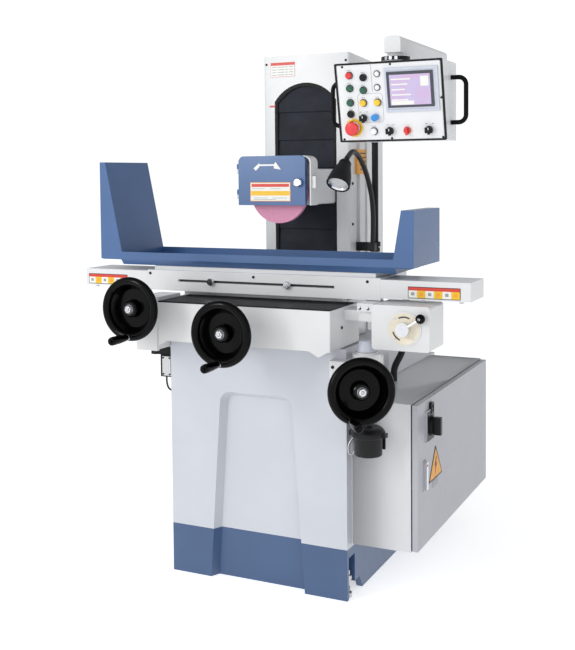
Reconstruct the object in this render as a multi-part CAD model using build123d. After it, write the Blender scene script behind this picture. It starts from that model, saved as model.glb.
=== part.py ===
from build123d import *
import math
import os

# Surface grinder. Millimetres. Origin on the floor at the middle of the bed's footprint.
# +X to the operator's right, +Y to the back, +Z up.

# ---- driving dimensions ----
GAP = 0.3                      # clearance between bodies that move past each other
BASE_W = 619                   # bed width
BASE_D = 900                   # bed depth
BASE_FRONT = -BASE_D / 2
BLOCK_D = 384                  # depth of the tall front block that carries the ways
BLOCK_TOP = 776                # the saddle rides on its flat top, guided by two V grooves
REAR_TOP = 620                 # the lower rear of the bed, under the column
CAST_WALL = 20
GROOVES = (-180, 150)          # x of the V grooves
GROOVE_DEPTH = 16
SADDLE_X0, SADDLE_X1 = -330, 296
SADDLE_FRONT, SADDLE_BACK = -540, -132
SADDLE_Z0, SADDLE_Z1 = 779, 901
TABLE_X0, TABLE_X1 = -439, 395
TABLE_FRONT, TABLE_BACK = -382, -135
TABLE_Z0, TABLE_TOP = 919, 1000
GUARD_X0, GUARD_X1 = -622, 503
GUARD_FRONT, GUARD_BACK = -390, -127
GUARD_Z0 = 1021
GUARD_LEFT_TOP, GUARD_RIGHT_TOP = 1350, 1193
SHEET = 2.5
WHEEL_R = 101.5
WHEEL_BORE_R = 15.9
SPINDLE_Z = 1245
WHEEL_FRONT, WHEEL_BACK = -268, -250
DOOR_X0, DOOR_X1 = -133, 109
DOOR_FRONT = -297
DOOR_Z0, DOOR_Z1 = 1203, 1364
HEAD_TOP = 1321
COLUMN_X0, COLUMN_X1 = -165.5, 158
COLUMN_FRONT, COLUMN_BACK = -38, 262
COLUMN_TOP = 1718              # at the front, from where the top falls to the back
THROAT_X0, THROAT_X1 = -124, 111
THROAT_SPRING, THROAT_TOP = 1558, 1621
HANDWHEEL_R = 100
X_WHEEL = (-334, -656, 890)    # rim fronts of the three handwheels
Y_WHEEL = (0, -679, 835)
Z_WHEEL = (416.5, -590.6, 681)
Z_WHEEL_YAW = 35               # the elevating handwheel faces out to the right
PIN_R = 86                     # radius of the crank pins
SCREW_FRONT = -557             # where the cross-feed screw starts
CABINET_X1 = 499
CABINET_Y = 410
CABINET_Z0, CABINET_Z1 = 167, 616
DOOR_T = 18
PENDANT = (450, -450, 1512.5)  # middle of the leaning front face
PENDANT_W, PENDANT_H = 327, 232
PENDANT_BACK = -326
PENDANT_TILT = 12
SWIVEL = (450, -395)           # vertical axis that the pendant turns about
ARM_PIVOT = (455, 0)           # vertical axis that the arm turns about
ARM_Z0, ARM_Z1 = 1656, 1704
POLE = (226, 30, 11)           # x, y and radius of the conduit pole
CLAMP_R = 18
LAMP_TIP = (220, -222, 1345)   # where the gooseneck enters the lamp head
LAMP_AIM = (-0.037, -0.616, -0.787)
SWITCH_POS = (-298, 531)       # y and z of the main switch on the cabinet door
DIAL = (497, 850)              # x and z of the table feed lever


# ---- helpers ----
def block(x0, x1, y0, y1, z0, z1):
    centre = ((x0 + x1) / 2, (y0 + y1) / 2, (z0 + z1) / 2)
    return Pos(*centre) * Box(abs(x1 - x0), abs(y1 - y0), abs(z1 - z0))


def rod(axis, start, r, length):
    """A cylinder from start, running along +axis."""
    turn = {"x": Rot(0, 90, 0), "y": Rot(-90, 0, 0), "z": Rot(0, 0, 0)}[axis]
    solid = Cylinder(r, length, align=(Align.CENTER, Align.CENTER, Align.MIN))
    return Pos(*start) * turn * solid


def front_prism(points, y0, y1):
    """An outline in X and Z, extruded from y0 back to y1."""
    face = make_face(Polyline(*points, close=True).edges())
    plane = Plane(origin=(0, y0, 0), x_dir=(1, 0, 0), z_dir=(0, -1, 0))
    return extrude(plane * face, amount=-(y1 - y0))


def side_prism(points, x0, x1):
    """An outline in Y and Z, extruded from x0 to x1."""
    face = make_face(Polyline(*points, close=True).edges())
    return extrude(Plane.YZ.offset(x0) * face, amount=x1 - x0)


def turned_y(points, centre):
    """A profile of (radius, y) points turned about a Y axis through centre."""
    face = make_face(Polyline(*points, close=True).edges())
    solid = revolve(face, Axis.Y)
    return Pos(*centre) * solid


def turned_z(points, centre):
    """A profile of (radius, z) points turned about a Z axis through centre."""
    face = make_face(Polyline(*points, close=True).edges())
    solid = revolve(Plane.XZ * face, Axis.Z)
    return Pos(*centre) * solid


def tube(points, radii, r):
    """A round bar along straight runs joined by tangent arcs."""
    path = FilletPolyline(*points, radius=radii)
    section = Plane(origin=points[0], z_dir=Vector(*points[1]) - Vector(*points[0])) * Circle(r)
    return sweep(section, path=path)


def corner_radii(points):
    """The largest arc that the two runs at each corner leave room for."""
    radii = []
    for a, b, c in zip(points, points[1:], points[2:]):
        before = Vector(*b) - Vector(*a)
        after = Vector(*c) - Vector(*b)
        turn = before.get_angle(after)
        short = min(before.length, after.length)
        radii.append(0.45 * short / math.tan(math.radians(turn) / 2))
    return radii


def save(shape, node):
    export_step(shape, f"parts/{node}.step")


# ---- bed ----
def base_casting():
    half = BASE_W / 2
    back = BASE_D / 2
    block_back = BASE_FRONT + BLOCK_D
    body = block(-half, half, BASE_FRONT, block_back, 0, BLOCK_TOP)
    body += block(-half, half, block_back, back, 0, REAR_TOP)
    # ribbed hollow, open underneath
    rib = 20
    for sx in (-1, 1):
        x_in, x_out = sorted((sx * rib, sx * (half - CAST_WALL)))
        body -= block(x_in, x_out, BASE_FRONT + 75, block_back - rib, -1, BLOCK_TOP - GROOVE_DEPTH - CAST_WALL)
        body -= block(x_in, x_out, block_back + rib, back - CAST_WALL, -1, REAR_TOP - CAST_WALL)
    # tapered recess in the front face, running down to the floor
    recess_top, recess_depth = 612, 30
    outline = Polyline((-173, -90), (173, -90), (125, recess_top), (-125, recess_top), close=True)
    face = make_face(outline.edges())
    upper = face.vertices().sort_by(Axis.Y)[-2:]
    face = fillet(upper, 38)
    plane = Plane(origin=(0, BASE_FRONT, 0), x_dir=(1, 0, 0), z_dir=(0, -1, 0))
    body -= extrude(plane * face, amount=-recess_depth, taper=26)
    # arched clearance under both sides and a pocket for the levelling screws
    for sx in (-1, 1):
        for y, lean in ((BASE_FRONT + 12, 10), (back - 127, 25)):
            notch = [(y, -1), (y + 115, -1), (y + 80 + lean, 42), (y + lean, 42)]
            x_in, x_out = sorted((sx * (half - 70), sx * (half + 1)))
            body -= side_prism(notch, x_in, x_out)
        for y in (BASE_FRONT + 12, back - 62):
            x_in, x_out = sorted((sx * (half - 30), sx * (half + 1)))
            body -= block(x_in, x_out, y, y + 50, 41, 130)
    # V grooves that guide the saddle
    for x in GROOVES:
        groove = [(x - 18, BLOCK_TOP + 1), (x + 18, BLOCK_TOP + 1), (x + 17, BLOCK_TOP), (x, BLOCK_TOP - GROOVE_DEPTH),
                  (x - 17, BLOCK_TOP)]
        body -= front_prism(groove, BASE_FRONT - 1, block_back + 1)
    # nut bracket for the cross-feed screw
    body += block(-32, 32, -262, -230, BLOCK_TOP - 1, 872)
    body -= rod("y", (0, -263, Y_WHEEL[2]), 11.05, 34)
    return body


def levelling_screws():
    """Four jacking screws with their lock nuts, standing on the floor."""
    group = []
    for sx in (-1, 1):
        for y in (BASE_FRONT + 37, BASE_D / 2 - 37):
            x = sx * (BASE_W / 2 - 15)
            screw = rod("z", (x, y, 0), 8, 84) + rod("z", (x, y, 0), 14, 14)
            nut = extrude(Plane.XY.offset(56) * RegularPolygon(14, 6), amount=12)
            group.append(screw + Pos(x, y, 0) * nut)
    return Compound(children=group)


# ---- column ----
def throat_block(y0, y1, z0, inset=0):
    """The throat's opening as a solid: straight sides, and a flat arch on top."""
    middle = (THROAT_X0 + THROAT_X1) / 2
    left, right = (THROAT_X0 + inset, THROAT_SPRING), (THROAT_X1 - inset, THROAT_SPRING)
    arch = ThreePointArc(right, (middle, THROAT_TOP - inset), left)
    sides = Polyline(left, (left[0], z0), (right[0], z0), right)
    face = make_face(arch.edges() + sides.edges())
    plane = Plane(origin=(0, y0, 0), x_dir=(1, 0, 0), z_dir=(0, -1, 0))
    return extrude(plane * face, amount=-(y1 - y0))


def column():
    side = [(COLUMN_FRONT, REAR_TOP), (COLUMN_BACK, REAR_TOP), (COLUMN_BACK, COLUMN_TOP - 20),
            (153, COLUMN_TOP - 10), (COLUMN_FRONT, COLUMN_TOP)]
    body = side_prism(side, COLUMN_X0, COLUMN_X1)
    body = fillet(body.edges().filter_by(Axis.Z), 8)
    # stepped side covers
    for x, sx in ((COLUMN_X0, -1), (COLUMN_X1, 1)):
        for step, y in ((8, 40), (14, 95)):
            x_in, x_out = sorted((x - sx, x + sx * step))
            body += block(x_in, x_out, y, COLUMN_BACK - 6, REAR_TOP, COLUMN_TOP - 83)
    # throat for the bellows and the wheelhead's slide, with a flat arch
    body -= throat_block(COLUMN_FRONT - 1, 150, 700)
    body -= block(COLUMN_X0 + 20, COLUMN_X1 - 18, 168, 246, REAR_TOP - 1, COLUMN_TOP - 38)
    # vertical ways on the throat's back wall
    for sx in (-1, 1):
        x_in, x_out = sorted((sx * 52, sx * 96))
        body += block(x_in, x_out, 128, 151, 720, THROAT_TOP - 76)
    # thrust plates at both ends of the elevating screw
    for z in (722, THROAT_TOP - 51):
        plate = block(-34, 34, 90, 151, z, z + 22)
        plate -= rod("z", (0, 108, z - 1), 9.05, 24)
        body += plate
    # bracket that carries the pendant arm
    x, y = ARM_PIVOT
    body += block(COLUMN_X1 - 1, x + 30, y - 32, y + 32, 1588, 1640)
    body += block(COLUMN_X1 - 1, COLUMN_X1 + 60, y - 60, y + 60, 1560, 1640)
    body += rod("z", (x, y, 1639), 14, ARM_Z1 - 1639 - 6)
    return body


def elevating_screw():
    screw = rod("z", (0, 108, 712), 9, THROAT_TOP - 26 - 712)
    screw += rod("z", (0, 108, 745), 12, 810)
    screw += rod("z", (0, 108, 704), 24, 16)
    return screw


BELLOWS_FRONT, BELLOWS_BACK = -26, 20


def bellows_lower():
    """Cover from the bed up to the wheelhead, closed as one block."""
    return block(THROAT_X0 + 2, THROAT_X1 - 2, BELLOWS_FRONT, BELLOWS_BACK, 764, DOOR_Z0 - 2)


def bellows_upper():
    """Cover from the wheelhead up to the arch, closed as one block."""
    return throat_block(BELLOWS_FRONT, BELLOWS_BACK, HEAD_TOP + 2, 2)


# ---- electrical cabinet ----
HINGE_X, HINGE_Y = CABINET_X1 + 7, CABINET_Y + 6


def cabinet_box():
    """Five plates round the open side, the mounting plate, its components and the hinges."""
    x0, wall, inset = BASE_W / 2, 3, 10
    y0, y1 = -CABINET_Y, CABINET_Y
    group = [block(x0, x0 + wall, y0, y1, CABINET_Z0, CABINET_Z1),
             block(x0 + wall, CABINET_X1, y0, y0 + wall, CABINET_Z0, CABINET_Z1),
             block(x0 + wall, CABINET_X1, y1 - wall, y1, CABINET_Z0, CABINET_Z1),
             block(x0 + wall, CABINET_X1, y0 + wall, y1 - wall, CABINET_Z0, CABINET_Z0 + wall),
             block(x0 + wall, CABINET_X1, y0 + wall, y1 - wall, CABINET_Z1 - wall, CABINET_Z1)]
    # mounting plate with the drive, transformer and contactors
    face = x0 + inset
    group.append(block(x0 + wall, face, -370, 370, 200, 590))
    group.append(block(face, x0 + 110, 180, 330, 230, 430))
    group.append(block(face, x0 + 120, -60, 60, 240, 520))
    group.append(block(face, x0 + 80, -330, -88, 440, 520))
    # hinge knuckles with their pins
    for z in (250, 500):
        knuckle = block(CABINET_X1 - 30, HINGE_X, CABINET_Y, CABINET_Y + 3, z, z + 30)
        knuckle += rod("z", (HINGE_X, HINGE_Y, z), 5, 30)
        group.append(knuckle + rod("z", (HINGE_X, HINGE_Y, z), 2.5, 62))
    return Compound(children=group)


def cabinet_door():
    x0, x1 = CABINET_X1 + 3, CABINET_X1 + 3 + DOOR_T
    body = block(x0, x1, -CABINET_Y + 3, CABINET_Y - 3, CABINET_Z0 + 3, CABINET_Z1 - 3)
    body -= block(x0 - 1, x1 - 2, -CABINET_Y + 5, CABINET_Y - 5, CABINET_Z0 + 5, CABINET_Z1 - 5)
    for z in (280.5, 530.5):
        body += block(x0 + 1, x0 + 7, CABINET_Y - 5, HINGE_Y, z, z + 30)
        body += rod("z", (HINGE_X, HINGE_Y, z), 5, 30)
        body -= rod("z", (HINGE_X, HINGE_Y, z - 1), 2.55, 33)
    # base plate of the main switch and the seat of the latch
    y, z = SWITCH_POS
    body += block(x1 - 1, x1 + 6, y - 36, y + 36, z - 46, z + 50)
    body -= rod("x", (x1 - 3, y, z), 8.05, 10)
    body += block(x1 - 1, x1 + 3, -355, -331, 340, 433)
    body -= rod("x", (x1 - 3, -343, 400), 5.05, 8)
    return body


def main_switch():
    x = CABINET_X1 + 3 + DOOR_T + 6 + GAP
    y, z = SWITCH_POS
    knob = rod("x", (x, y, z), 27, 12) + block(x + 11, x + 34, y - 8, y + 8, z - 27, z + 27)
    return knob + rod("x", (x - 20, y, z), 8, 21)


def door_latch():
    x = CABINET_X1 + 3 + DOOR_T + 3 + GAP
    grip = block(x, x + 7, -351, -335, 344, 429)
    return grip + rod("x", (x - 18, -343, 400), 5, 19)


# ---- elevating drive ----
def elevating_gearbox():
    """Gear housing of the elevating handwheel, bolted round the bed's front corner."""
    x1, front, top = 385, -490, 745
    body = block(268, x1, front, BASE_FRONT, 600, top)
    body += block(BASE_W / 2, x1, BASE_FRONT - 1, -330, 622, top)
    body = fillet(body.edges().filter_by(Axis.Z).group_by(Axis.Y)[0], 10)
    cap = [(0, -1), (43, -1), (43, 18), (41, 20), (34, 20), (34, 25), (30, 25), (22, 57), (20, 58), (0, 58)]
    body += turned_z(cap, (367, -428, top))
    body += on_z_wheel(rod("y", (0, 108, 0), 26, 32))
    body -= on_z_wheel(rod("y", (0, 107, 0), 12.05, 66))
    return body


BREATHER = (386, -468)


def filler_breather():
    x, y = BREATHER
    body = turned_z([(0, 468), (40, 468), (42, 472), (42, 522), (0, 522)], (x, y, 0))
    body += block(x - 22, x + 22, y, -CABINET_Y, 480, 512)
    body += block(x - 34, x + 34, -CABINET_Y - 5, -CABINET_Y, 474, 518)
    body -= rod("z", (x, y, 494), 34, 40)
    return body


def filler_lid():
    x, y = BREATHER
    lid = turned_z([(0, 522.3), (48, 522.3), (50, 526), (50, 540), (44, 548), (38, 552), (0, 552)], (x, y, 0))
    lid += block(x - 58, x + 58, y - 10, y + 10, 524, 537)
    return lid + rod("z", (x, y, 500), 33.7, 23)


# ---- saddle ----
def saddle():
    body = block(SADDLE_X0, SADDLE_X1, SADDLE_FRONT, SADDLE_BACK, SADDLE_Z0, SADDLE_Z1)
    body = fillet(body.edges().filter_by(Axis.Z).group_by(Axis.Y)[0], 4)
    # V-shaped way wipers under the front edge
    for x in (-297, 257):
        tip = [(x - 32, SADDLE_Z0 + 1), (x + 32, SADDLE_Z0 + 1), (x, SADDLE_Z0 - 17)]
        body += front_prism(tip, SADDLE_FRONT, SADDLE_FRONT + 8)
    # the rear is narrower on the right
    body -= block(250, SADDLE_X1 + 1, -308, SADDLE_BACK + 1, SADDLE_Z0 - 1, SADDLE_Z1 + 1)
    # tongues that run in the bed's grooves, and the pads between them
    for x in GROOVES:
        tip = GROOVE_DEPTH - 1
        tongue = [(x - 20, SADDLE_Z0 + 1), (x - 16, BLOCK_TOP + GAP), (x, BLOCK_TOP - tip), (x + 16, BLOCK_TOP + GAP),
                  (x + 20, SADDLE_Z0 + 1)]
        body += front_prism(tongue, BASE_FRONT + 10, SADDLE_BACK)
    # room for the nut bracket and the cross-feed screw
    body -= block(-42, 42, -505, SADDLE_BACK + 1, SADDLE_Z0 - 30, 882)
    body -= rod("y", (0, SADDLE_FRONT - 1, Y_WHEEL[2]), 12.05, 60)
    # hollow left and right of it
    for x0, x1, back in ((SADDLE_X0 + 14, -240, SADDLE_BACK - 14), (-120, -58, SADDLE_BACK - 14),
                         (58, 95, SADDLE_BACK - 14), (205, 236, SADDLE_BACK - 14), (236, SADDLE_X1 - 14, -322)):
        body -= block(x0, x1, SADDLE_FRONT + 70, back, SADDLE_Z0 - 1, SADDLE_Z1 - 20)
    # table ways
    for y in (-340, -220):
        body += block(SADDLE_X0 + 10, 250, y, y + 40, SADDLE_Z1 - 1, 930)
    # collar of the cross-feed handwheel, housing of the table handwheel
    body += rod("y", (0, SADDLE_FRONT - 28, Y_WHEEL[2]), 36, 29) - rod("y", (0, SADDLE_FRONT - 29, Y_WHEEL[2]), 12.05, 31)
    x, y, z = X_WHEEL
    outside = -BASE_W / 2 - 1.5
    body += block(x - 44, x + 34, -545, SADDLE_FRONT + 8, 745, 916)
    body += block(x - 44, outside, SADDLE_FRONT + 7, -400, 745, 916)
    body += block(outside - 1, x + 34, SADDLE_FRONT + 7, -400, SADDLE_Z0, 916)
    body += rod("y", (x, -556, z), 30, 12)
    body -= rod("y", (x, -557, z), 12.05, 150)
    return body


def way_cover():
    x0 = X_WHEEL[0] + 35
    return block(x0, SADDLE_X1 - 4, SADDLE_FRONT + 2, -345, SADDLE_Z1, SADDLE_Z1 + 4)


def feed_box():
    x0, x1, front, back, z0, z1 = 395, 573, -460, -320, 784, 917
    body = block(x0, x1, front, back, z0, z1)
    body = fillet(body.edges().filter_by(Axis.Y), 8)
    x, z = DIAL
    body += rod("y", (x, front - 3, z), 52, 4)
    # tab with two screws and the bracket to the saddle
    body += block(345, x0 + 1, front + 10, front + 24, 893, z1)
    body += block(SADDLE_X1, x0 + 1, -430, -350, 862, 893)
    body += block(345, x0 + 1, front + 20, -350, 862, z1)
    body -= rod("y", (x, front - 4, z), 10.05, 60)
    for sx in (352, 378):
        body += rod("y", (sx, front + 6, 906), 4.5, 6)
    return body


def feed_lever():
    x, z = DIAL
    front = -463 - GAP
    reach, rise = 54, 34
    hub = rod("y", (x, front - 21, z), 20.5, 21) + rod("y", (x, front - 1, z), 10, 40)
    arm = Plane(origin=(x, front - 15, z), z_dir=(reach, 0, rise)) * Cylinder(
        4.5, 64, align=(Align.CENTER, Align.CENTER, Align.MIN))
    ball = Pos(x + reach, front - 15, z + rise) * Sphere(14)
    return hub + arm + ball


# ---- handwheels ----
def handwheel(shaft_length):
    """Dished wheel with a round rim, its hub, the pin of its crank handle and its shaft."""
    rim = revolve(Pos(HANDWHEEL_R - 13, 13) * Circle(13), Axis.Y)
    dish = [(0, 8), (21, 8), (25, 12), (29, 36), (60, 38), (82, 10), (92, 16), (88, 24), (66, 48), (34, 52),
            (32, 62), (0, 62)]
    body = rim + turned_y(dish, (0, 0, 0))
    body += rod("y", (0, 61, 0), 12, shaft_length)
    body += rod("y", (0, -96, -PIN_R), 5, 104)
    body += rod("y", (0, -8, -PIN_R), 9, 12)
    return body


def crank_handle():
    profile = [(5.05, -92), (10, -92), (12.5, -89), (13.5, -80), (13, -50), (11, -20), (9, -9), (5.05, -9)]
    return turned_y(profile, (0, 0, -PIN_R))


def on_z_wheel(shape):
    """From the elevating handwheel's own frame, with its axis along Y, to its place."""
    return Pos(*Z_WHEEL) * Rot(0, 0, Z_WHEEL_YAW) * shape


def cross_feed_screw():
    x, _, z = Y_WHEEL
    return rod("y", (x, SCREW_FRONT, z), 12, 25) + rod("y", (x, SCREW_FRONT + 24, z), 11, -149 - SCREW_FRONT)


# ---- table ----
def table():
    body = block(TABLE_X0, TABLE_X1, TABLE_FRONT, TABLE_BACK, 950, TABLE_TOP - 13)
    body += block(TABLE_X0 + 20, TABLE_X1 - 20, TABLE_FRONT + 14, TABLE_BACK - 14, 950, TABLE_TOP)
    # front and rear aprons
    body += block(TABLE_X0, TABLE_X1, TABLE_FRONT, TABLE_FRONT + 26, TABLE_Z0, 951)
    body += block(TABLE_X0, TABLE_X1, TABLE_BACK - 20, TABLE_BACK, TABLE_Z0, 951)
    # shoes on the saddle's ways
    for y in (-342, -222):
        body += block(TABLE_X0, TABLE_X1, y, y + 44, 930 + GAP, 951)
    # slot of the reversing dogs, along the front
    body -= block(-318, 243, TABLE_FRONT - 1, TABLE_FRONT + 14, 950, 958)
    # raised work surface with one T-slot
    body += block(-290, 245, -335, -180, TABLE_TOP - 1, TABLE_TOP + 8)
    body -= block(-291, 246, -265, -250, TABLE_TOP - 9, TABLE_TOP + 9)
    body -= block(-291, 246, -271, -244, TABLE_TOP - 16, TABLE_TOP - 8)
    return body


def table_ends():
    """Sheet covers beyond both ends of the table, open underneath and towards it, with rubber stops."""
    group = []
    top, depth = 983, 150
    for x0, x1, inward in ((-692, TABLE_X0, 1), (TABLE_X1, 673, -1)):
        outer = x0 if inward > 0 else x1
        cover = block(x0, x1, TABLE_FRONT, TABLE_FRONT + depth, 926, top)
        pocket = sorted((outer + inward * SHEET, (x1 if inward > 0 else x0) + inward))
        cover -= block(*pocket, TABLE_FRONT + SHEET, TABLE_FRONT + depth - SHEET, 925, top - SHEET)
        for reach in (32, 150):
            cover += rod("z", (outer + inward * reach, TABLE_FRONT + 20, 919), 7, top - 920)
        group.append(cover)
    return Compound(children=group)


def splash_guard():
    top_l, top_r = GUARD_LEFT_TOP, GUARD_RIGHT_TOP
    lip = GUARD_Z0 + 24
    in_l, in_r = -537, 438
    outline = [(GUARD_X0, GUARD_Z0), (GUARD_X0, top_l), (-600, top_l), (in_l, lip), (in_r, lip),
               (463, top_r), (GUARD_X1, top_r), (GUARD_X1, GUARD_Z0)]
    body = front_prism(outline, GUARD_FRONT, GUARD_BACK)
    floor = 1001
    low = Pos(-60, -258.5, floor) * Rectangle(1000, 226)
    high = Pos((GUARD_X0 + GUARD_X1) / 2, (GUARD_FRONT + GUARD_BACK) / 2, GUARD_Z0) * Rectangle(
        GUARD_X1 - GUARD_X0, GUARD_BACK - GUARD_FRONT)
    body += loft([low, high])
    # inside of the tray, between the slanted end walls
    tray = [(in_l - 0.5, GUARD_Z0), (in_l, lip), (-600 - 1, top_l + 1), (463 + 1, top_r + 160), (463, top_r),
            (in_r, lip), (in_r + 0.5, GUARD_Z0)]
    body -= front_prism(tray, GUARD_FRONT + SHEET, GUARD_BACK - SHEET)
    low_in = Pos(-60, -258.5, floor + SHEET) * Rectangle(940, 218)
    high_in = Pos((in_l + in_r) / 2, -258.5, GUARD_Z0) * Rectangle(in_r - in_l, GUARD_BACK - GUARD_FRONT - 2 * SHEET)
    body -= loft([low_in, high_in])
    # the ends are folded from sheet and hollow, open underneath
    left = [(GUARD_X0 + SHEET, 1000), (GUARD_X0 + SHEET, top_l - SHEET), (-600 - SHEET, top_l - SHEET),
            (in_l - SHEET - 1, lip), (in_l - 6, 1000)]
    right = [(GUARD_X1 - SHEET, 1000), (GUARD_X1 - SHEET, top_r - SHEET), (463 + SHEET, top_r - SHEET),
             (in_r + SHEET + 1, lip), (in_r + 6, 1000)]
    for pocket in (left, right):
        body -= front_prism(pocket, GUARD_FRONT + SHEET, GUARD_BACK - SHEET)
    # window for the table's work surface
    body -= block(-291, 246, -336, -179, floor - 2, floor + 10)
    return body


def reversing_dog(x):
    y, z = TABLE_FRONT - GAP, 954
    knob = turned_y([(0, -13), (10.5, -13), (12, -11), (12, -1), (11, 0), (0, 0)], (x, y, z))
    return knob + rod("y", (x, y - 1, z), 3.7, 12)


# ---- wheelhead ----
def wheelhead():
    body = block(-105, 105, -228, 26, DOOR_Z0, HEAD_TOP)
    body = fillet(body.edges().filter_by(Axis.Y), 6)
    body += block(-100, 100, 25, 128 - GAP, 1140, 1340)
    body -= rod("y", (0, -229, SPINDLE_Z), 36.05, 225)
    body -= rod("z", (0, 108, 1139), 12.05, 202)
    return body


def rounded_front(x0, x1, z0, z1, y0, y1, r):
    """A plate with its two top corners rounded."""
    body = block(x0, x1, y0, y1, z0, z1)
    return fillet(body.edges().filter_by(Axis.Y).group_by(Axis.Z)[-1], r)


def wheel_guard():
    x0, x1 = DOOR_X0 + 5, DOOR_X1 + 14
    body = rounded_front(x0, x1, DOOR_Z0, DOOR_Z1, -283, -228, 26)
    body -= rounded_front(x0 + 4, x1 - 4, DOOR_Z0 - 1, DOOR_Z1 - 4, -284, -238, 22)
    body -= rod("y", (0, -240, SPINDLE_Z), 20, 13)
    # boss for the coolant nozzle
    body += block(x1 - 1, x1 + 13, -275, -230, 1258, 1297)
    # hinge knuckles and pins of the door
    for z in (1222, 1306):
        body += block(DOOR_X0 - 10, DOOR_X0 - 1, -288, -280, z, z + 16)
        body += block(DOOR_X0 - 10, x0 + 1, -282.9, -280, z, z + 16)
        body += rod("z", (DOOR_X0 - 5, -288, z), 5, 16)
        body += rod("z", (DOOR_X0 - 5, -288, z), 2.2, 33)
    return body


def guard_door():
    y1 = -283 - GAP
    body = rounded_front(DOOR_X0, DOOR_X1, DOOR_Z0, DOOR_Z1, DOOR_FRONT, y1, 20)
    body -= rounded_front(DOOR_X0 + 3, DOOR_X1 - 3, DOOR_Z0 - 1, DOOR_Z1 - 3, DOOR_FRONT + 3, y1 + 1, 17)
    for z in (1238.5, 1322.5):
        body += block(DOOR_X0 - 5, DOOR_X0 + 1, -291, -286, z, z + 16)
        body += rod("z", (DOOR_X0 - 5, -288, z), 5, 16)
        body -= rod("z", (DOOR_X0 - 5, -288, z - 1), 2.25, 19)
    body -= rod("y", (87, DOOR_FRONT - 1, 1277), 4.05, 6)
    return body


def guard_knob():
    knob = turned_y([(0, -15), (11, -15), (14, -12), (14, -3), (10, 0), (0, 0)], (87, DOOR_FRONT - GAP, 1277))
    return knob + rod("y", (87, DOOR_FRONT - 1, 1277), 4, 8)


def spindle_drive():
    """Two spindle bearings and the motor's stator, in the wheelhead's bore."""
    group = []
    for y0, length, inner in ((-220, 18, 14.05), (-190, 18, 14.05), (-160, 110, 30.3), (-42, 18, 14.05)):
        ring = rod("y", (0, y0, SPINDLE_Z), 36, length) - rod("y", (0, y0 - 1, SPINDLE_Z), inner, length + 2)
        group.append(ring)
    return Compound(children=group)


def spindle():
    body = rod("y", (0, -280, SPINDLE_Z), 14, 270)
    body += rod("y", (0, WHEEL_FRONT - 8, SPINDLE_Z), 36, 8)
    body += rod("y", (0, WHEEL_FRONT - 1, SPINDLE_Z), WHEEL_BORE_R - 0.05, 20)
    body += rod("y", (0, WHEEL_BACK, SPINDLE_Z), 36, 8)
    body += rod("y", (0, -284, SPINDLE_Z), 10, 8)
    body += rod("y", (0, -155, SPINDLE_Z), 29.7, 100)
    return body


def grinding_wheel():
    body = rod("y", (0, WHEEL_FRONT, SPINDLE_Z), WHEEL_R, WHEEL_BACK - WHEEL_FRONT)
    return body - rod("y", (0, WHEEL_FRONT - 1, SPINDLE_Z), WHEEL_BORE_R, 20)


# ---- pole, work lamp, limit switch, hoses ----
def conduit_pole():
    x, y, r = POLE
    body = rod("z", (x, y, 1046), r, ARM_Z0 - 1046 - 110)
    body += rod("z", (x, y, 1052), CLAMP_R, 16) + rod("z", (x, y, 1034), 16, 14)
    body += block(COLUMN_X1, x, y - 9, y + 9, 1036, 1066)
    body += block(COLUMN_X1, x, y - 6, y + 6, 1500, 1520)
    return body


GOOSENECK = [(226, 1, 1036), (228, 3, 1100), (229, 2, 1165), (229, -10, 1225), (227, -38, 1282),
             (226, -75, 1328), (224, -122, 1365), (222, -170, 1380), (220.3, -216.7, 1351.7)]


def lamp_gooseneck():
    radii = corner_radii(GOOSENECK)
    print("gooseneck radii", [round(r) for r in radii])
    x, y, _ = POLE
    foot = block(212, 238, -10, 16, 1040, 1066) - rod("z", (x, y, 1030), CLAMP_R, 40)
    return tube(GOOSENECK, radii, 8.5) + foot


def lamp_head():
    profile = [(0, 1), (15, 1), (19, 6), (20, 14), (34, 60), (38, 82), (38, 96), (34, 96), (34, 80), (16, 50), (0, 50)]
    face = make_face(Polyline(*profile, close=True).edges())
    solid = revolve(Plane.XZ * face, Axis.Z)
    # knuckle that the head tilts about
    x, y, z = LAMP_TIP
    return Plane(origin=LAMP_TIP, z_dir=LAMP_AIM) * solid + rod("x", (x - 8, y, z), 7, 16)


def limit_switch():
    x = -BASE_W / 2
    body = block(x - 46, x, -440, -404, 640, 712)
    body += block(x - 80, x, -436, -420, 712, 738)
    body += block(x - 82, x - 62, -440, -416, 712, 744)
    return body


CABINET_HOSE = [(338, -100, 616), (338, -100, 660), (370, -96, 720), (372, -80, 800), (364, -20, 862),
                (320, 44, 892), (250, 80, 900), (166, 80, 900)]
SWITCH_CABLE = [(-344, -422, 640), (-344, -422, 616), (-336, -423, 596), (-311, -423, 590)]


def hoses():
    group = []
    for points, r in ((CABINET_HOSE, 11), (SWITCH_CABLE, 3)):
        radii = corner_radii(points)
        print("hose radii", [round(v) for v in radii])
        group.append(tube(points, radii, r))
    return Compound(children=group)


# ---- pendant ----
def pendant_arm():
    px, py = SWIVEL
    ax, ay = ARM_PIVOT
    body = block(ax - 25, ax + 25, py - 45, ay + 34, ARM_Z0, ARM_Z1)
    body = fillet(body.edges().filter_by(Axis.Y).group_by(Axis.Z)[-1], 12)
    body -= rod("z", (ax, ay, ARM_Z0 - 1), 14.05, ARM_Z1 - ARM_Z0 - 4)
    body += rod("z", (px, py, ARM_Z0 - 9), 26, 10)
    body += rod("z", (px, py, 1633), 42, 14) + rod("z", (px, py, 1614), 11, 43)
    body += rod("z", (ax, ay, 1640 + GAP), 30, 16) - rod("z", (ax, ay, 1640), 14.05, 17)
    return body


# The pendant's face frame: u to the right and v down from its top left corner, w into the box.
def on_pendant(shape):
    return Pos(*PENDANT) * Rot(PENDANT_TILT, 0, 0) * shape


def face_point(u, v, w=0.0):
    return (u - PENDANT_W / 2, w, PENDANT_H / 2 - v)


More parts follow.
